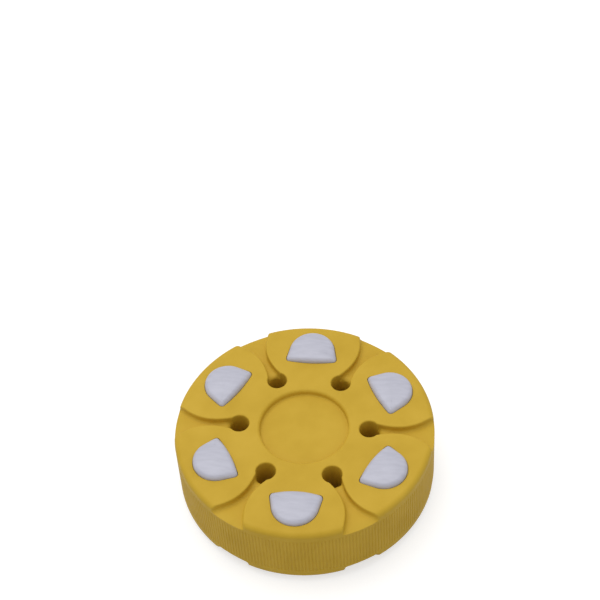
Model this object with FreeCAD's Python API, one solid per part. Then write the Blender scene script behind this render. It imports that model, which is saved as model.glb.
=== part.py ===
# Roller and street hockey puck: a soft moulded disc with six glides on each face.
# Millimetres, +Z up. The origin is the middle of the surface that the lower glides stand on.
import FreeCAD
import Part
import math
import os

Vector = FreeCAD.Vector
up = Vector(0, 0, 1)

# Overall size
puck_diameter = 76.2
puck_thickness = 25.4          # from the crowns of the lower glides to the crowns of the upper ones
glide_count = 6                # glides on each face, with as many channels and vent holes between them

# Disc
rim_round = 1.7                # rounding between a face and the side wall
recess_diameter = 25.9         # shallow round recess in the middle of each face
recess_depth = 1.9
recess_foot_round = 0.4        # hollow rounding round the recess floor
lip_round = 0.45               # rounding where a recess, channel or vent hole meets the face

# Vent holes, right through the disc
vent_diameter = 5.8
vent_wall = 3.25               # disc left between the recess and a vent hole

# Channels that fan out from each vent hole to the rim
channel_depth = 2.2
channel_neck_width = 2.2       # width between the side walls where the channel is narrowest
channel_neck_offset = 7.3      # distance of that neck beyond the axis of the vent hole
channel_mouth_width = 12.9     # width between the side walls at the rim
channel_throat_inset = 0.24    # how far inside the vent hole's wall the side walls start
channel_foot_round = 0.8       # hollow rounding between the floor and the side walls
channel_drop = 0.9             # width and depth of the slope where the floor drops into the vent hole

# Grip ribs on the side wall
rib_count = 240
rib_height = 16.0
rib_groove_depth = 0.1

# Glide heads, D-shaped in plan, with the round side towards the rim
glide_crown = 1.9              # height of a crown above the face
crown_offset = 0.9             # from the stem axis towards the rim
glide_rim_margin = 3.35        # face left between a head and the side wall
head_radius = 6.85             # round side, about the stem
head_heel = 4.35               # stem axis to the middle of the flatter side
heel_width = 15.6              # between the corners before they are rounded
heel_bow = 0.75                # how far the flatter side bows out between its corners
head_corner_round = 1.2
crown_radius = 30.0            # radius of the domed top
crown_edge_round = 1.15
pocket_depth = 2.5             # thickness of a head below the face
gate_dimple_diameter = 0.9
gate_dimple_depth = 0.12

# Stems: a beaded pin on each upper glide snaps into a split socket on the lower one
socket_diameter = 7.0
socket_floor = 2.4             # solid length between the lower head and the socket's bore
socket_slot_width = 0.8
socket_slot_length = 6.0
pin_diameter = 4.0
bead_height = 0.3              # how far the bead stands out of the pin
bead_length = 1.6
bead_offset = 2.2              # from the pin's tip to the middle of the bead

# Clearances
head_gap = 0.15                # around a head in its pocket
stem_gap = 0.1                 # around a socket in the disc
pin_gap = 0.1                  # around a pin and its bead
end_gap = 0.4                  # beyond a pin's tip and a socket's mouth

puck_radius = puck_diameter / 2
recess_radius = recess_diameter / 2
mid_height = puck_thickness / 2
face_height = mid_height - glide_crown            # from the mid plane to a face
pocket_floor = face_height - pocket_depth         # from the mid plane to the seat of a head
vent_radius = vent_diameter / 2
vent_ring = recess_radius + vent_wall + vent_radius
glide_ring = puck_radius - glide_rim_margin - head_radius
pitch_angle = 360.0 / glide_count
first_glide_angle = 90.0
first_channel_angle = first_glide_angle - pitch_angle / 2
overrun = 2.0                                     # how far cutting solids stand past what they cut
side_overrun = 0.2                                # the same for a channel, past the side wall

# Each side wall of a channel is two arcs in plan, which meet along the channel at its neck
channel_floor = face_height - channel_depth
neck_x = vent_ring + channel_neck_offset
neck_y = channel_neck_width / 2
throat_x = vent_ring + vent_radius / 4
throat_y = math.sqrt((vent_radius - channel_throat_inset) ** 2 - (throat_x - vent_ring) ** 2)
mouth_y = channel_mouth_width / 2


def flare_radius(run, flare):
    """Radius of an arc that leaves a straight line and stands flare away from it after run."""
    return (run ** 2 + flare ** 2) / (2 * flare)


throat_radius = flare_radius(neck_x - throat_x, throat_y - neck_y)
side_radius = flare_radius(puck_radius - neck_x, mouth_y - neck_y)


def line(start, end):
    return Part.LineSegment(start, end).toShape()


def arc(start, middle, end):
    return Part.Arc(start, middle, end).toShape()


def turned(shape, angle):
    """A copy turned about the puck's axis."""
    copy = shape.copy()
    copy.rotate(Vector(0, 0, 0), up, angle)
    return copy


def flipped(shape):
    """A copy for the lower face, in the same place in plan."""
    return shape.mirror(Vector(0, 0, 0), up)


def on_every_pitch(shape, first_angle):
    return [turned(shape, first_angle + pitch_angle * step) for step in range(glide_count)]


def is_circle(edge, radius):
    return isinstance(edge.Curve, Part.Circle) and abs(edge.Curve.Radius - radius) < 1e-4


def lies_at(edge, height):
    box = edge.BoundBox
    return abs(box.ZMin - height) < 1e-4 and abs(box.ZMax - height) < 1e-4


def make_half_blank():
    """The upper half of the plain disc, with its rounded rim and its recess."""
    disc = Part.makeCylinder(puck_radius, face_height)
    rim = [edge for edge in disc.Edges if lies_at(edge, face_height)]
    disc = disc.makeFillet(rim_round, rim)
    recess_floor = face_height - recess_depth
    recess = Part.makeCylinder(recess_radius, recess_depth + overrun, Vector(0, 0, recess_floor))
    foot = [edge for edge in recess.Edges if lies_at(edge, recess_floor)]
    return disc.cut(recess.makeFillet(recess_foot_round, foot))


def wall_point(x, side):
    """A point at floor level on the wall on one side, 1 or -1, of a channel along +X."""
    radius = throat_radius if x < neck_x else side_radius
    reach = math.sqrt(radius ** 2 - (x - neck_x) ** 2)
    return Vector(x, side * (neck_y + radius - reach), channel_floor)


def wall_arc(start_x, end_x, side):
    return arc(wall_point(start_x, side), wall_point((start_x + end_x) / 2, side), wall_point(end_x, side))


def make_channel():
    """The solid that cuts one upper channel, lying along +X, and its drop into the vent hole."""
    outer_x = puck_radius + side_overrun
    plan = Part.Face(Part.Wire([
        wall_arc(throat_x, neck_x, 1),
        wall_arc(neck_x, outer_x, 1),
        line(wall_point(outer_x, 1), wall_point(outer_x, -1)),
        wall_arc(outer_x, neck_x, -1),
        wall_arc(neck_x, throat_x, -1),
        line(wall_point(throat_x, -1), wall_point(throat_x, 1)),
    ]))
    channel = plan.extrude(up * (channel_depth + overrun))
    feet = [edge for edge in channel.Edges
            if isinstance(edge.Curve, Part.Circle) and lies_at(edge, channel_floor)]
    channel = channel.makeFillet(channel_foot_round, feet)
    cone = Part.makeCone(vent_radius, vent_radius + channel_drop, channel_drop,
                         Vector(vent_ring, 0, channel_floor - channel_drop))
    return [channel, cone.common(plan.extrude(up * -channel_drop))]


def make_rib_cutter():
    """A ring whose toothed inner side cuts the grooves between the grip ribs."""
    points = []
    for step in range(2 * rib_count + 1):
        angle = math.pi * step / rib_count
        radius = puck_radius + (rib_groove_depth if step % 2 else -rib_groove_depth)
        points.append(Vector(radius * math.cos(angle), radius * math.sin(angle), -rib_height / 2))
    teeth = Part.Face(Part.makePolygon(points)).extrude(up * rib_height)
    ring = Part.makeCylinder(puck_radius + overrun, rib_height, Vector(0, 0, -rib_height / 2))
    return ring.cut(teeth)


def make_head_block(gap, bottom, top):
    """A prism of a head's plan, widened all round by gap, lying towards +X of the stem's axis."""
    radius = head_radius + gap
    corner_x = -(head_heel - heel_bow) - gap
    corner_y = heel_width / 2 + gap
    bow_x = -head_heel - gap
    corner_distance = math.hypot(corner_x, corner_y)
    tangent_angle = math.atan2(corner_y, corner_x) - math.acos(radius / corner_distance)
    tangent_x = radius * math.cos(tangent_angle)
    tangent_y = radius * math.sin(tangent_angle)

    def at(x, y):
        return Vector(glide_ring + x, y, bottom)

    outline = Part.Wire([
        arc(at(tangent_x, -tangent_y), at(radius, 0), at(tangent_x, tangent_y)),
        line(at(tangent_x, tangent_y), at(corner_x, corner_y)),
        arc(at(corner_x, corner_y), at(bow_x, 0), at(corner_x, -corner_y)),
        line(at(corner_x, -corner_y), at(tangent_x, -tangent_y)),
    ])
    block = Part.Face(outline).extrude(up * (top - bottom))
    corners = [edge for edge in block.Edges
               if edge.BoundBox.ZLength > top - bottom - 1e-4
               and abs(edge.BoundBox.XMin - glide_ring - corner_x) < 1e-3]
    return block.makeFillet(head_corner_round + gap, corners)


def make_half_body():
    """The upper half of the disc with its channels, vent holes, head pockets and stem bores."""
    vent = Part.makeCylinder(vent_radius, face_height + overrun)
    vent.translate(Vector(vent_ring, 0, -overrun / 2))
    openings = on_every_pitch(vent, first_channel_angle)
    for cutter in make_channel():
        openings += on_every_pitch(cutter, first_channel_angle)
    half = make_half_blank().cut(openings)
    lip_radii = [vent_radius, throat_radius, side_radius, recess_radius]
    lips = [edge for edge in half.Edges
            if lies_at(edge, face_height) and any(is_circle(edge, radius) for radius in lip_radii)]
    half = half.makeFillet(lip_round, lips)
    pocket = make_head_block(head_gap, pocket_floor, face_height + overrun)
    stem_bore = Part.makeCylinder(socket_diameter / 2 + stem_gap, face_height + overrun)
    stem_bore.translate(Vector(glide_ring, 0, -overrun / 2))
    seats = on_every_pitch(pocket, first_glide_angle)
    seats += on_every_pitch(stem_bore, first_glide_angle)
    return half.cut(seats)


def make_body():
    """Both halves as one moulding, with the grip ribs round its side wall."""
    half = make_half_body()
    whole = half.fuse(flipped(half)).removeSplitter()
    return whole.cut(make_rib_cutter())


def make_head():
    """An upper head: the part in the pocket, the domed crown and the gate dimple."""
    crown = face_height + glide_crown
    block = make_head_block(0, pocket_floor, crown + overrun)
    dome = Part.makeSphere(crown_radius, Vector(glide_ring + crown_offset, 0, crown - crown_radius))
    head = block.common(dome)
    top_edges = [edge for edge in head.Edges if edge.BoundBox.ZMin > face_height]
    head = head.makeFillet(crown_edge_round, top_edges)
    dimple = Part.makeCylinder(gate_dimple_diameter / 2, overrun,
                               Vector(glide_ring, 0, crown - gate_dimple_depth))
    return head.cut(dimple)


def revolved(profile):
    """A solid of revolution about the stem's axis, from (radius, height) corners."""
    points = [Vector(glide_ring + radius, 0, height) for radius, height in profile]
    face = Part.Face(Part.makePolygon(points + points[:1]))
    return face.revolve(Vector(glide_ring, 0, 0), up, 360)


def beaded_profile(radius, tip, top, bead):
    """Half section of a rod, or of its socket's bore, with a bead round it near the tip."""
    bead_middle = -pocket_floor + socket_floor + end_gap + bead_offset
    return [
        (0, tip),
        (radius, tip),
        (radius, bead_middle - bead_length / 2),
        (radius + bead, bead_middle),
        (radius, bead_middle + bead_length / 2),
        (radius, top),
        (0, top),
    ]


def make_upper_glide():
    """Head and beaded pin."""
    tip = -pocket_floor + socket_floor + end_gap
    pin = revolved(beaded_profile(pin_diameter / 2, tip, pocket_floor + pocket_depth / 2, bead_height))
    return make_head().fuse(pin).removeSplitter()


def make_lower_glide():
    """Head and split socket."""
    mouth = pocket_floor - end_gap
    socket = Part.makeCylinder(socket_diameter / 2, mouth + pocket_floor + pocket_depth / 2,
                               Vector(glide_ring, 0, -pocket_floor - pocket_depth / 2))
    bore_floor = -pocket_floor + socket_floor
    bore = revolved(beaded_profile(pin_diameter / 2 + pin_gap, bore_floor, mouth + overrun, bead_height))
    slot = Part.makeBox(socket_diameter + overrun, socket_slot_width, socket_slot_length + overrun)
    slot.translate(Vector(glide_ring - (socket_diameter + overrun) / 2, -socket_slot_width / 2,
                          mouth - socket_slot_length))
    glide = flipped(make_head()).fuse(socket).removeSplitter()
    return glide.cut([bore, slot])


def save(shape, node):
    placed = shape.copy()
    placed.translate(up * mid_height)
    placed.exportStep("parts/" + node + ".step")
    print(node, "valid", placed.isValid(), "solids", len(placed.Solids), "volume", round(placed.Volume, 1))


os.makedirs("parts", exist_ok=True)
save(make_body(), "body")
upper_glides = on_every_pitch(make_upper_glide(), first_glide_angle)
lower_glides = on_every_pitch(make_lower_glide(), first_glide_angle)
for number in range(glide_count):
    save(upper_glides[number], "upper_glide_" + str(number + 1))
    save(lower_glides[number], "lower_glide_" + str(number + 1))
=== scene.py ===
# Roller and street hockey puck: a soft moulded disc with six smooth glides on each face.
import bmesh
import bpy
import math
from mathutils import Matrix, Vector


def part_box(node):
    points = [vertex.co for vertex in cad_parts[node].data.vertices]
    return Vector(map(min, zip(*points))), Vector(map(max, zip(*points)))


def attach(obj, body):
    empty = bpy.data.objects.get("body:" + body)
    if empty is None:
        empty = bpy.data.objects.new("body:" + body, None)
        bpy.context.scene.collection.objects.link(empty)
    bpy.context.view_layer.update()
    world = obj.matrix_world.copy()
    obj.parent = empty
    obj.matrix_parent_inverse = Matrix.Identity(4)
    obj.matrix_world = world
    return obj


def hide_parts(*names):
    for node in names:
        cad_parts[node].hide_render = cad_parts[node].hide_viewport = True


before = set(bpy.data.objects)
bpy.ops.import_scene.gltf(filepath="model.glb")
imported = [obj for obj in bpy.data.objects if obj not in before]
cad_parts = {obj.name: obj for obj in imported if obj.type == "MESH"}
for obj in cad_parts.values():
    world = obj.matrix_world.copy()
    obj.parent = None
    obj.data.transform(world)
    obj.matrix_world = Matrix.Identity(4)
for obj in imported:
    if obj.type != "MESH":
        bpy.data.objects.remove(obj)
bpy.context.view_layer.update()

mm = 0.001
scene = bpy.context.scene
bodyLow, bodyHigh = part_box("body")
puckRadius = bodyHigh.x
midHeight = (bodyLow.z + bodyHigh.z) / 2
faceHeight = bodyHigh.z - midHeight        # mid plane to a face
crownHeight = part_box("upper_glide_1")[1].z - midHeight    # mid plane to the top of a glide
pitchCount = 6                             # glides on a face, with a channel between each two
pitchAngle = 2 * math.pi / pitchCount
firstGlide = math.pi / 2                   # glide 1 lies along +Y
overrun = mm                               # how far cutting pieces stand past what they cut
throughLength = 30 * mm                    # long enough to go right through the disc
nearly = 0.01 * mm                         # places closer than this count as the same
sameTurn = 1e-5                            # and so do directions, in radians
cornerAngle = math.radians(32)             # an edge bent more than this is a corner


# Working as by hand: one object in use, its parts selected by place or direction

def useOnly(piece):
    bpy.ops.object.select_all(action="DESELECT")
    piece.select_set(True)
    bpy.context.view_layer.objects.active = piece


def addPrimitive(name, operator, **settings):
    bpy.ops.object.select_all(action="DESELECT")
    operator(**settings)
    piece = bpy.context.active_object
    piece.name = piece.data.name = name
    bpy.ops.object.transform_apply(location=True, rotation=True, scale=True)
    return piece


def startEditing(piece, mode="FACE"):
    useOnly(piece)
    bpy.ops.object.mode_set(mode="EDIT")
    bpy.ops.mesh.select_mode(type=mode)
    bpy.ops.mesh.select_all(action="DESELECT")


def stopEditing():
    bpy.ops.object.mode_set(mode="OBJECT")


def selectWhere(piece, kind, test):
    mesh = bmesh.from_edit_mesh(piece.data)
    mesh.normal_update()
    for part in getattr(mesh, kind):
        part.select_set(test(part))
    mesh.select_flush_mode()
    bmesh.update_edit_mesh(piece.data)


def middle(edge):
    return (edge.verts[0].co + edge.verts[1].co) / 2


def isSharp(edge):                         # an outside corner
    return edge.is_manifold and edge.calc_face_angle_signed() > cornerAngle


def isUpright(face):
    return abs(face.normal.z) < 0.1


def inFirstPitch(point):                   # the same point, seen from the nearest channel's middle line
    angle = math.atan2(point.y, point.x) % pitchAngle
    angle = min(angle, pitchAngle - angle)
    reach = math.hypot(point.x, point.y)
    return Vector((reach * math.cos(angle), reach * math.sin(angle), point.z))


def fixNormals():
    bpy.ops.mesh.select_all(action="SELECT")
    bpy.ops.mesh.normals_make_consistent(inside=False)


def combine(piece, tool, operation="DIFFERENCE"):
    useOnly(piece)
    step = piece.modifiers.new("combine", "BOOLEAN")
    step.operation, step.solver, step.object = operation, "EXACT", tool
    bpy.ops.object.modifier_apply(modifier=step.name)
    bpy.data.objects.remove(tool)


def turnedCopy(piece, name, angle, flip=1):
    copy = piece.copy()
    copy.data = piece.data.copy()
    copy.name = copy.data.name = name
    scene.collection.objects.link(copy)
    copy.rotation_euler.z = angle
    copy.scale.z = flip
    useOnly(copy)
    bpy.ops.object.transform_apply(location=True, rotation=True, scale=True)
    return copy


def cutOnEveryPitch(piece, cutter, firstAngle):
    for step in range(pitchCount):
        combine(piece, turnedCopy(cutter, "cutter", firstAngle + pitchAngle * step))
    bpy.data.objects.remove(cutter)


def extrude(move, factor=(1, 1, 1), about=(0, 0, 0)):
    bpy.ops.mesh.extrude_region_move(TRANSFORM_OT_translate={"value": move})
    bpy.ops.transform.resize(value=factor, center_override=about)


def smoothOff(piece, angle, weight=None):
    useOnly(piece)
    bpy.ops.object.shade_smooth_by_angle(angle=math.radians(angle))
    if weight:                             # flat faces stay flat beside their rounded edges
        even = piece.modifiers.new("even normals", "WEIGHTED_NORMAL")
        even.keep_sharp, even.weight = True, weight
        bpy.ops.object.modifier_apply(modifier=even.name)


# Finishes

def toLinear(code):                        # an sRGB hex code as linear red, green, blue and alpha
    parts = [int(code[at:at + 2], 16) / 255 for at in (1, 3, 5)]
    return tuple(part / 12.92 if part <= 0.04045 else ((part + 0.055) / 1.055) ** 2.4
                 for part in parts) + (1,)


def addNode(tree, kind, settings, links=None):
    node = tree.nodes.new(kind)
    for name, value in settings.items():
        if name in node.inputs:
            node.inputs[name].default_value = value
        else:
            setattr(node, name, value)
    for name, source in (links or {}).items():
        tree.links.new(source, node.inputs[name])
    return node


def startMaterial(name):
    material = bpy.data.materials.new(name)
    material.use_nodes = True
    material.node_tree.nodes.clear()
    return material, material.node_tree


def addNoise(tree, size, detail, place):
    noise = addNode(tree, "ShaderNodeTexNoise", {"Scale": 1 / size, "Detail": detail}, {"Vector": place})
    return noise.outputs["Fac"]


def finishMaterial(tree, finish, tint, grain):    # tint picks the colour, grain the gloss and relief
    colour = addNode(tree, "ShaderNodeValToRGB", {}, {"Fac": tint})
    stops = colour.color_ramp.elements
    first, *between, last = finish["colours"]
    stops[0].position, stops[0].color = first[0], toLinear(first[1])
    stops[1].position, stops[1].color = last[0], toLinear(last[1])
    for position, code in between:
        stops.new(position).color = toLinear(code)
    smoothest, roughest = finish["roughness"]
    gloss = addNode(tree, "ShaderNodeMapRange", {"To Min": smoothest, "To Max": roughest},
                    {"Value": grain})
    relief = addNode(tree, "ShaderNodeBump",
                     {"Strength": finish["bumpStrength"], "Distance": finish["bump"]}, {"Height": grain})
    shader = addNode(tree, "ShaderNodeBsdfPrincipled",
                     {"IOR": finish["ior"], "Specular IOR Level": finish["specular"]},
                     {"Base Color": colour.outputs["Color"], "Roughness": gloss.outputs["Result"],
                      "Normal": relief.outputs["Normal"]})
    addNode(tree, "ShaderNodeOutputMaterial", {}, {"Surface": shader.outputs["BSDF"]})


softPvc = {
    "colours": ((0.3, "#C19D2A"), (0.5, "#C6A22F"), (0.7, "#CAA634")),    # mustard yellow
    "blotch": 9 * mm,          # size of the faint uneven patches in the dye
    "blotchDetail": 3.0,
    "grain": 0.35 * mm,        # size of the spark-eroded mould grain
    "grainDetail": 2.0,
    "roughness": (0.5, 0.66),
    "bump": 0.03 * mm,
    "bumpStrength": 0.35,
    "ior": 1.53,
    "specular": 0.2,
}


def makeSoftPvc():
    # Soft PVC, injection moulded in a grained mould: matt, evenly dyed, with a wide dull sheen
    material, tree = startMaterial("softMouldedPvc")
    place = addNode(tree, "ShaderNodeTexCoord", {}).outputs["Object"]
    blotch = addNoise(tree, softPvc["blotch"], softPvc["blotchDetail"], place)
    grain = addNoise(tree, softPvc["grain"], softPvc["grainDetail"], place)
    finishMaterial(tree, softPvc, blotch, grain)
    return material


glideAcetal = {
    "colours": ((0.35, "#B3B3C0"), (0.65, "#BBBBC8")),
    "sheenAndWearStreak": 1.1 * mm,        # width of the faint streaks: rubbed wear, and painted highlight streaks in the colour
    "sheenAndWearStreakDetail": 3.0,
    "stretch": (0.25, 1.0, 0.25),
    "roughness": (0.26, 0.42),
    "bump": 0.015 * mm,
    "bumpStrength": 0.3,
    "ior": 1.48,
    "specular": 0.5,
}


def makeGlideAcetal():
    # Acetal, moulded in a polished mould and dulled by a little use: white and slippery
    material, tree = startMaterial("whiteMouldedAcetal")
    place = addNode(tree, "ShaderNodeTexCoord", {}).outputs["Object"]
    stretched = addNode(tree, "ShaderNodeMapping", {"Scale": glideAcetal["stretch"]}, {"Vector": place})
    sheenAndWearStreak = addNoise(tree, glideAcetal["sheenAndWearStreak"], glideAcetal["sheenAndWearStreakDetail"],
                      stretched.outputs["Vector"])
    # the streaks vary the colour a little, partly as rubbed wear and partly as painted highlight
    # streaks; they also vary the gloss and relief
    finishMaterial(tree, glideAcetal, sheenAndWearStreak, sheenAndWearStreak)
    return material


# Glide heads: their outline is drawn once, for the heads and for the pockets that hold them

head = {
    "ring": 27.9 * mm,         # stem's axis from the puck's axis
    "radius": 6.85 * mm,       # round side, about the stem
    "heel": 4.35 * mm,         # stem's axis to the middle of the flatter side
    "width": 15.6 * mm,        # between the corners before they are rounded
    "bow": 0.75 * mm,          # how far the flatter side bows out
    "corner": 1.35 * mm,
    "depth": 2.5 * mm,         # thickness below the face
    "domeRadius": 30 * mm,
    "apex": 0.9 * mm,          # top of the dome, from the stem's axis towards the rim
    "edgeRound": 1.15 * mm,
    "edgeMargin": 0.15 * mm,   # flat strip between that rounding and the dome's rings
    "roundSteps": 40,
    "bowSteps": 14,
    "cornerSteps": 6,
    "edgeSteps": 7,
    "domeSteps": 9,            # rings on the dome
    "domeRest": 0.6,           # left inside the last ring, in steps
    "ballPoints": (256, 192),
}


def drawHead(name, gap, height):
    radius = head["radius"] + gap
    corner = Vector((head["bow"] - head["heel"] - gap, head["width"] / 2 + gap, 0))
    side = math.atan2(corner.y, corner.x) - math.acos(radius / corner.length)
    bowRadius = (corner.y ** 2 + head["bow"] ** 2) / (2 * head["bow"])
    centre = Vector((head["ring"], 0, height))           # on the stem's axis
    end = Vector((math.cos(side), math.sin(side), 0)) * radius
    start = Vector((end.x, -end.y, 0))
    bowCentre = centre + Vector((corner.x - head["bow"] + bowRadius, 0, 0))
    outline = addPrimitive(name, bpy.ops.mesh.primitive_plane_add, size=mm, location=centre + start)
    startEditing(outline, "VERT")
    bpy.ops.mesh.select_all(action="SELECT")
    bpy.ops.mesh.merge(type="CENTER")                    # a single point to draw with
    bpy.ops.mesh.spin(steps=head["roundSteps"], angle=2 * side, center=centre, axis=(0, 0, -1))
    selectWhere(outline, "verts", lambda point: (point.co - centre - end).length < nearly)
    extrude(corner - end)
    bpy.ops.mesh.spin(steps=head["bowSteps"], angle=2 * math.asin(corner.y / bowRadius),
                      center=bowCentre, axis=(0, 0, -1))
    bpy.ops.mesh.select_all(action="SELECT")
    bpy.ops.mesh.remove_doubles(threshold=nearly / 10)
    bpy.ops.mesh.edge_face_add()
    bpy.ops.mesh.flip_normals()                          # upwards
    selectWhere(outline, "verts", lambda point: abs(point.co.x - centre.x - corner.x) < 2 * nearly
                and abs(abs(point.co.y) - corner.y) < 2 * nearly)
    bpy.ops.mesh.bevel(affect="VERTICES", offset=head["corner"], segments=head["cornerSteps"],
                       offset_type="OFFSET")
    stopEditing()
    return outline


def makeHead(name):
    dome = drawHead(name, 0, crownHeight)                # top sheet first, flat
    middleOfTop = (head["ring"] + head["apex"], 0, 0)
    startEditing(dome)
    bpy.ops.mesh.select_all(action="SELECT")
    bpy.ops.mesh.inset(thickness=head["edgeRound"] + head["edgeMargin"])
    bpy.ops.mesh.select_all(action="SELECT")
    bpy.ops.mesh.remove_doubles(threshold=10 * nearly)      # the inset brings a corner's points together
    selectWhere(dome, "faces", lambda face: not any(edge.is_boundary for edge in face.edges))
    share = 1
    for step in range(1, head["domeSteps"] + 1):         # rings towards the middle
        nextShare = 1 - step / (head["domeSteps"] + head["domeRest"])
        extrude((0, 0, 0), (nextShare / share, nextShare / share, 1), middleOfTop)
        share = nextShare
    bpy.ops.mesh.merge(type="CENTER")
    stopEditing()
    around, upwards = head["ballPoints"]
    ball = addPrimitive("ball", bpy.ops.mesh.primitive_uv_sphere_add, segments=around,
                        ring_count=upwards, radius=head["domeRadius"],
                        location=(middleOfTop[0], 0, crownHeight - head["domeRadius"]))
    useOnly(dome)
    wrap = dome.modifiers.new("dome", "SHRINKWRAP")
    wrap.target, wrap.wrap_method, wrap.use_project_z = ball, "PROJECT", True
    wrap.use_positive_direction = wrap.use_negative_direction = True
    bpy.ops.object.modifier_apply(modifier=wrap.name)
    bpy.data.objects.remove(ball)
    startEditing(dome, "EDGE")
    selectWhere(dome, "edges", lambda edge: edge.is_boundary)
    bottom = faceHeight - head["depth"]
    extrude((0, 0, bottom - crownHeight), (1, 1, 0), (0, 0, bottom))
    bpy.ops.mesh.edge_face_add()
    fixNormals()
    selectWhere(dome, "edges", lambda edge: middle(edge).z > faceHeight and isSharp(edge)
                and any(isUpright(face) for face in edge.link_faces))
    bpy.ops.mesh.bevel(offset=head["edgeRound"], segments=head["edgeSteps"], offset_type="OFFSET",
                       loop_slide=False)
    stopEditing()
    return dome


stem = {
    "pinRadius": 2.0 * mm,
    "pinTip": 5.5 * mm,        # below the mid plane
    "beadHeight": 0.3 * mm,
    "beadLength": 1.6 * mm,
    "beadAt": 3.3 * mm,        # bead's middle, below the mid plane
    "socketRadius": 3.5 * mm,
    "socketTop": 7.9 * mm,     # socket's mouth, above the mid plane
    "boreRadius": 2.4 * mm,
    "boreFloor": 5.9 * mm,     # below the mid plane
    "slotWidth": 0.8 * mm,
    "slotFloor": 1.9 * mm,     # above the mid plane
    "slotLength": 9 * mm,
    "edgeRound": 0.4 * mm,     # of the pin's tip and its bead
    "edgeSteps": 3,
    "root": 0.5 * mm,          # how far a stem reaches into its head
}
stemRoot = faceHeight - head["depth"] + stem["root"]


def addRod(name, radius, low, high, points=48):
    return addPrimitive(name, bpy.ops.mesh.primitive_cylinder_add, vertices=points, radius=radius,
                        depth=high - low, location=(head["ring"], 0, (low + high) / 2))


def makeUpperGlide():
    glide = makeHead("upperGlide")
    pin = addRod("pin", stem["pinRadius"], -stem["pinTip"], stemRoot)
    startEditing(pin, "EDGE")
    selectWhere(pin, "edges", lambda edge: abs(middle(edge).z + stem["pinTip"]) < nearly)
    bpy.ops.mesh.bevel(offset=stem["edgeRound"], segments=stem["edgeSteps"], offset_type="OFFSET")
    for share in (-0.5, 0, 0.5):                         # both ends of the bead, and its middle
        height = share * stem["beadLength"] - stem["beadAt"]
        bpy.ops.mesh.select_all(action="SELECT")
        bpy.ops.mesh.bisect(plane_co=(0, 0, height), plane_no=(0, 0, 1))
    selectWhere(pin, "edges", lambda edge: abs(middle(edge).z + stem["beadAt"]) < nearly
                and abs(edge.verts[0].co.z - edge.verts[1].co.z) < nearly)
    grow = 1 + stem["beadHeight"] / stem["pinRadius"]
    bpy.ops.transform.resize(value=(grow, grow, 1), center_override=(head["ring"], 0, 0))
    bpy.ops.mesh.bevel(offset=stem["edgeRound"], segments=stem["edgeSteps"], offset_type="OFFSET")
    stopEditing()
    combine(glide, pin, "UNION")
    return glide


def makeLowerGlide():
    glide = makeHead("lowerGlide")                       # face up here, turned over by its copies
    mouth = -stem["socketTop"] - overrun
    socket = addRod("socket", stem["socketRadius"], -stem["socketTop"], stemRoot, points=64)
    combine(glide, socket, "UNION")
    combine(glide, addRod("bore", stem["boreRadius"], mouth, stem["boreFloor"]))
    depth = stem["socketTop"] - stem["slotFloor"] + overrun
    slotMiddle = (head["ring"], 0, mouth + depth / 2)
    slot = addPrimitive("slot", bpy.ops.mesh.primitive_cube_add, size=mm, location=slotMiddle)
    startEditing(slot)
    bpy.ops.mesh.select_all(action="SELECT")
    bpy.ops.transform.resize(value=(stem["slotWidth"] / mm, stem["slotLength"] / mm, depth / mm),
                             center_override=slotMiddle)
    stopEditing()
    combine(glide, slot)
    return glide


# Body

disc = {
    "rimRound": 1.7 * mm,
    "rimSteps": 8,
    "ribHeight": 15 * mm,      # ribbed band, centred on the side wall
    "ribCount": 240,
    "ribWall": 0.18 * mm,      # width of a groove's sloping sides
    "ribDepth": 0.15 * mm,
    "recessRadius": 12.95 * mm,
    "recessDepth": 1.9 * mm,
    "recessFoot": 0.4 * mm,
    "ventRing": 19.1 * mm,
    "ventRadius": 2.9 * mm,
    "recessLip": 1.0 * mm,     # rounding where the recess meets the face
    "lip": 0.45 * mm,          # and where a channel or a vent does
    "pocketLip": 0.08 * mm,    # and where a head's pocket does
    "pocketMargin": 0.3 * mm,  # its edges are looked for this far outside the head
    "headGap": 0.1 * mm,       # between a head and its pocket
    "wallFrom": 36 * mm,       # what lies farther out belongs to the side wall
    "mouthTurn": (7.0, 11.0),  # degrees from a channel's middle line to the petal beside its mouth
    "stemBore": 3.6 * mm,
}

channel = {
    "depth": 2.2 * mm,
    "neckAt": 26.9 * mm,       # narrowest place, from the puck's axis
    "neckHalf": 1.1 * mm,
    "throatRadius": 19 * mm,   # walls in plan, on the vent's side of the neck
    "flareRadius": 14 * mm,    # and on the rim's side
    "straightFrom": 8.1 * mm,  # this far past the neck the walls run straight
    "from": 20.5 * mm,
    "steps": 25,               # from there to where the walls run straight
    "foot": 0.8 * mm,          # rounding between floor and walls
    "footSteps": 6,
    "dropFrom": 23.2 * mm,     # where the floor turns down into the vent
    "dropRound": 1.4 * mm,
    "slopeFrom": 36.7 * mm,    # where the floor starts to fall away to the side wall
    "slope": 0.3,
}


def gapAt(distance):                       # half the channel's width, at a distance from the puck's axis
    run = distance - channel["neckAt"]
    radius = channel["throatRadius"] if run < 0 else channel["flareRadius"]
    bend = min(abs(run), channel["straightFrom"])
    reach = math.sqrt(radius ** 2 - bend ** 2)
    return channel["neckHalf"] + radius - reach + (abs(run) - bend) * bend / reach


def dropAt(distance):                      # how far the channel's floor has turned down there
    radius = channel["dropRound"]
    run = min(max(channel["dropFrom"] - distance, 0), radius)
    fall = channel["slope"] * max(distance - channel["slopeFrom"], 0)
    return radius - math.sqrt(radius ** 2 - run ** 2) + fall


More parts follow.
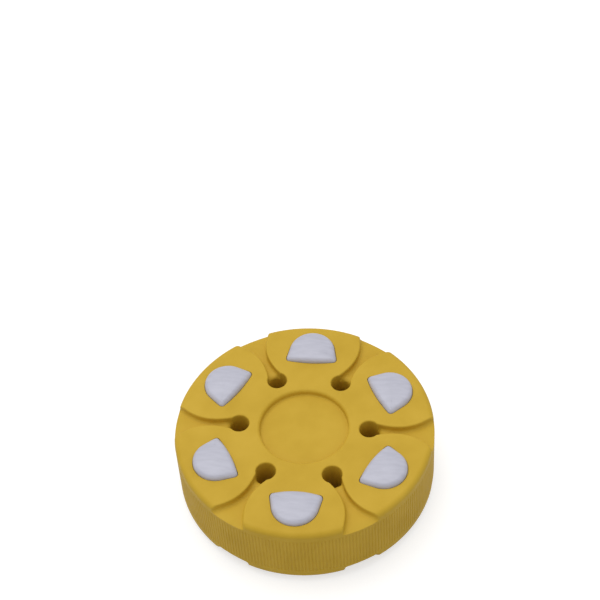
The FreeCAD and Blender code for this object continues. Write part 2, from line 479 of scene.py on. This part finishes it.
def makeChannelCutter():
    floor, top = faceHeight - channel["depth"], faceHeight + 2 * overrun
    start = (channel["from"], 0, (floor + top) / 2)
    cutter = addPrimitive("channelCutter", bpy.ops.mesh.primitive_plane_add, size=mm,
                          rotation=(0, math.pi / 2, 0), location=start)
    startEditing(cutter)
    bpy.ops.mesh.select_all(action="SELECT")
    bpy.ops.transform.resize(value=(1, 2 * gapAt(start[0]) / mm, (top - floor) / mm),
                             center_override=start)
    run = channel["neckAt"] + channel["straightFrom"] - start[0]
    stations = [start[0] + run * step / channel["steps"] for step in range(channel["steps"] + 1)]
    stations += [channel["slopeFrom"], puckRadius + overrun]
    for here, ahead in zip(stations, stations[1:]):
        extrude((ahead - here, 0, 0), (1, gapAt(ahead) / gapAt(here), 1))
    fixNormals()
    bpy.ops.mesh.select_mode(type="VERT")
    for station in stations:
        if dropAt(station) > 0:
            selectWhere(cutter, "verts", lambda point: abs(point.co.x - station) < nearly
                        and point.co.z < faceHeight)
            bpy.ops.transform.translate(value=(0, 0, -dropAt(station)))
    bpy.ops.mesh.select_mode(type="EDGE")
    selectWhere(cutter, "edges", lambda edge: middle(edge).z < faceHeight - channel["depth"] / 2
                and abs(edge.verts[0].co.x - edge.verts[1].co.x) > 10 * nearly)
    bpy.ops.mesh.bevel(offset=channel["foot"], segments=channel["footSteps"], offset_type="OFFSET",
                       loop_slide=False)
    stopEditing()
    return cutter


def makeRecessCutter():
    floor = faceHeight - disc["recessDepth"]
    cutter = addPrimitive("recessCutter", bpy.ops.mesh.primitive_cylinder_add, vertices=180,
                          radius=disc["recessRadius"], depth=4 * overrun,
                          location=(0, 0, floor + 2 * overrun))
    startEditing(cutter, "EDGE")
    selectWhere(cutter, "edges", lambda edge: abs(middle(edge).z - floor) < nearly)
    bpy.ops.mesh.bevel(offset=disc["recessFoot"], segments=4, offset_type="OFFSET")
    stopEditing()
    return cutter


def makePocketCutter():
    cutter = drawHead("pocketCutter", disc["headGap"], faceHeight - head["depth"])
    startEditing(cutter)
    bpy.ops.mesh.select_all(action="SELECT")
    extrude((0, 0, head["depth"] + 2 * overrun))
    fixNormals()
    stopEditing()
    combine(cutter, addRod("bore", disc["stemBore"], -throughLength / 2, faceHeight, points=64), "UNION")
    return cutter


def makeBlank():
    blank = addPrimitive("puckBody", bpy.ops.mesh.primitive_cylinder_add, vertices=2 * disc["ribCount"],
                         radius=puckRadius, depth=2 * faceHeight, end_fill_type="NGON")
    startEditing(blank, "EDGE")
    selectWhere(blank, "edges", lambda edge: abs(abs(middle(edge).z) - faceHeight) < nearly)
    bpy.ops.mesh.bevel(offset=disc["rimRound"], segments=disc["rimSteps"], offset_type="OFFSET")
    for side in (-1, 1):
        bpy.ops.mesh.select_all(action="SELECT")
        bpy.ops.mesh.bisect(plane_co=(0, 0, side * disc["ribHeight"] / 2), plane_no=(0, 0, 1))
    bpy.ops.mesh.select_mode(type="FACE")
    selectWhere(blank, "faces", isGroove)
    bpy.ops.mesh.inset(thickness=disc["ribWall"], depth=-disc["ribDepth"], use_individual=True)
    stopEditing()
    return blank


def isGroove(face):                        # every other face of the ribbed band
    centre = face.calc_center_median()
    turn = math.atan2(centre.y, centre.x) / math.pi * disc["ribCount"]
    return abs(centre.z) < disc["ribHeight"] / 2 and isUpright(face) and math.floor(turn) % 2 == 0


def isPocketLip(edge):
    point = middle(edge)
    pitch = inFirstPitch(point)
    along = pitch.x * math.cos(pitchAngle / 2) + pitch.y * math.sin(pitchAngle / 2) - head["ring"]
    across = pitch.y * math.cos(pitchAngle / 2) - pitch.x * math.sin(pitchAngle / 2)
    margin = disc["pocketMargin"]
    return (abs(point.z - faceHeight) < nearly and abs(across) < head["width"] / 2 + margin
            and -head["heel"] - margin < along < head["radius"] + margin and isSharp(edge))


def isRecessLip(edge):
    point = middle(edge)
    return (abs(point.z - faceHeight) < nearly
            and abs(point.xy.length - disc["recessRadius"]) < 10 * nearly)


def isOpeningLip(edge):                    # edges of vents and channels, down to the channel floors
    point = inFirstPitch(middle(edge))
    inVent = math.hypot(point.x - disc["ventRing"], point.y) < disc["ventRadius"] + 5 * nearly
    return (point.z > faceHeight - channel["depth"] - 2 * nearly and not isPocketLip(edge)
            and not (inVent and point.z < faceHeight - 5 * nearly) and isSharp(edge))


def isColumnAtMouth(edge):                 # upright, and in the way of the rounding of a mouth
    first, last = (math.atan2(point.co.y, point.co.x) for point in edge.verts)
    point = inFirstPitch(middle(edge))
    turn = math.degrees(math.atan2(point.y, point.x))
    return (abs(first - last) < sameTurn and point.z > disc["ribHeight"] / 2
            and point.length > disc["wallFrom"]
            and disc["mouthTurn"][0] < turn < disc["mouthTurn"][1])


def makeBody():
    body = makeBlank()
    cutOnEveryPitch(body, makeChannelCutter(), 0)
    vent = addPrimitive("ventCutter", bpy.ops.mesh.primitive_cylinder_add, vertices=72,
                        radius=disc["ventRadius"], depth=throughLength,
                        location=(disc["ventRing"], 0, 0))
    cutOnEveryPitch(body, vent, 0)
    combine(body, makeRecessCutter())
    cutOnEveryPitch(body, makePocketCutter(), pitchAngle / 2)
    print("openings cut")
    startEditing(body, "VERT")
    bpy.ops.mesh.select_all(action="SELECT")
    bpy.ops.mesh.remove_doubles(threshold=nearly)
    bpy.ops.mesh.select_mode(type="EDGE")
    selectWhere(body, "edges", isColumnAtMouth)
    bpy.ops.mesh.dissolve_edges(use_verts=True)
    bpy.ops.mesh.select_all(action="SELECT")
    bpy.ops.mesh.remove_doubles(threshold=5 * nearly)
    for isLip, width, steps in ((isRecessLip, disc["recessLip"], 6), (isOpeningLip, disc["lip"], 4),
                                (isPocketLip, disc["pocketLip"], 2)):
        selectWhere(body, "edges", isLip)
        bpy.ops.mesh.bevel(offset=width, segments=steps, offset_type="OFFSET", loop_slide=False,
                           clamp_overlap=False)
    bpy.ops.mesh.select_mode(type="FACE")                # the flat face is made anew, round its openings
    selectWhere(body, "faces", lambda face: face.normal.z > 0.999
                and abs(face.calc_center_median().z - faceHeight) < nearly / 5)
    bpy.ops.mesh.delete(type="FACE")
    bpy.ops.mesh.select_mode(type="EDGE")
    selectWhere(body, "edges", lambda edge: edge.is_boundary)
    bpy.ops.mesh.fill(use_beauty=True)
    bpy.ops.mesh.select_all(action="SELECT")
    bpy.ops.mesh.bisect(plane_co=(0, 0, 0), plane_no=(0, 0, 1), clear_inner=True)
    stopEditing()
    lower = body.modifiers.new("lower half", "MIRROR")
    lower.use_axis, lower.merge_threshold = (False, False, True), nearly / 2
    bpy.ops.object.modifier_apply(modifier=lower.name)
    startEditing(body)
    fixNormals()
    stopEditing()
    return body


def putInPlace(piece, name, material, slot, *nodes):
    piece.name = piece.data.name = name
    piece.location.z = midHeight           # modelled about the mid plane
    useOnly(piece)
    bpy.ops.object.transform_apply(location=True, rotation=True, scale=True)
    piece.data.materials.clear()
    piece.data.materials.append(material)
    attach(piece, "root")
    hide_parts(*nodes)


body = makeBody()
smoothOff(body, angle=35, weight=60)
putInPlace(body, "puckBody", makeSoftPvc(), "soft_pvc", "body")
print("body made:", len(body.data.polygons), "faces")

acetal = makeGlideAcetal()
for face, first, flip in (("upper", makeUpperGlide(), 1), ("lower", makeLowerGlide(), -1)):
    for number in range(1, pitchCount + 1):
        name = face + "Glide" + str(number)
        glide = turnedCopy(first, name, firstGlide + pitchAngle * (number - 1), flip)
        startEditing(glide)
        fixNormals()
        stopEditing()
        smoothOff(glide, angle=40)
        putInPlace(glide, name, acetal, "glide_plastic", face + "_glide_" + str(number))
    bpy.data.objects.remove(first)
print("glides made")


# Floor, light and camera

studio = {
    "floorSize": 6,
    "floorColour": "#C8C8C8",
    "floorLift": 0.6,          # added where the camera looks straight at the floor
    "worldLight": 0.62,
    "lampPlace": (-0.25, 0.25, 1.22),
    "lampSize": 1.2,
    "lampPower": 8.2,
    "cameraPlace": (43.57 * mm, -286.51 * mm, 411.45 * mm),
    "cameraTurn": (41.036, 2.751, 5.188),
    "lens": 99.13,
    "sensor": 36,
    "clip": (0.01, 20),
}


def addLightPath(tree):                    # 1 where the camera, a reflection or glass sees it
    path = addNode(tree, "ShaderNodeLightPath", {})
    seen = path.outputs["Is Camera Ray"]
    for ray in ("Is Glossy Ray", "Is Transmission Ray"):
        either = addNode(tree, "ShaderNodeMath", {"operation": "MAXIMUM"})
        tree.links.new(seen, either.inputs[0])
        tree.links.new(path.outputs[ray], either.inputs[1])
        seen = either.outputs["Value"]
    return seen


def makeFloor():
    floor = addPrimitive("floor", bpy.ops.mesh.primitive_plane_add, size=studio["floorSize"])
    material, tree = startMaterial("paleFloorPaint")
    paint = addNode(tree, "ShaderNodeBsdfDiffuse", {"Color": toLinear(studio["floorColour"])})
    lift = addNode(tree, "ShaderNodeMath", {"operation": "MULTIPLY"})
    tree.links.new(addLightPath(tree), lift.inputs[0])
    lift.inputs[1].default_value = studio["floorLift"]
    glow = addNode(tree, "ShaderNodeEmission", {}, {"Strength": lift.outputs["Value"]})
    both = addNode(tree, "ShaderNodeAddShader", {})
    tree.links.new(paint.outputs["BSDF"], both.inputs[0])
    tree.links.new(glow.outputs["Emission"], both.inputs[1])
    addNode(tree, "ShaderNodeOutputMaterial", {}, {"Surface": both.outputs["Shader"]})
    floor.data.materials.append(material)


def makeWorld():
    world = bpy.data.worlds.new("studioWorld")
    scene.world = world
    world.use_nodes = True
    tree = world.node_tree
    tree.nodes.clear()
    white = (1, 1, 1, 1)
    light = addNode(tree, "ShaderNodeBackground", {"Color": white, "Strength": studio["worldLight"]})
    ground = addNode(tree, "ShaderNodeBackground", {"Color": white, "Strength": 1.0})
    seen = addNode(tree, "ShaderNodeMixShader", {}, {"Fac": addLightPath(tree)})
    tree.links.new(light.outputs["Background"], seen.inputs[1])
    tree.links.new(ground.outputs["Background"], seen.inputs[2])
    addNode(tree, "ShaderNodeOutputWorld", {}, {"Surface": seen.outputs["Shader"]})


def addLamp():
    data = bpy.data.lights.new("softLamp", "AREA")
    data.size, data.energy = studio["lampSize"], studio["lampPower"]
    lamp = bpy.data.objects.new("softLamp", data)
    scene.collection.objects.link(lamp)
    lamp.location = studio["lampPlace"]
    lamp.rotation_euler = (Vector((0, 0, 0)) - lamp.location).to_track_quat("-Z", "Y").to_euler()


def addCamera():
    data = bpy.data.cameras.new("camera")
    data.lens, data.sensor_width = studio["lens"], studio["sensor"]
    data.clip_start, data.clip_end = studio["clip"]
    camera = bpy.data.objects.new("camera", data)
    scene.collection.objects.link(camera)
    camera.location = studio["cameraPlace"]
    camera.rotation_euler = [math.radians(turn) for turn in studio["cameraTurn"]]
    scene.camera = camera


makeFloor()
makeWorld()
addLamp()
addCamera()
scene.view_settings.view_transform = "Standard"
print("stage set")
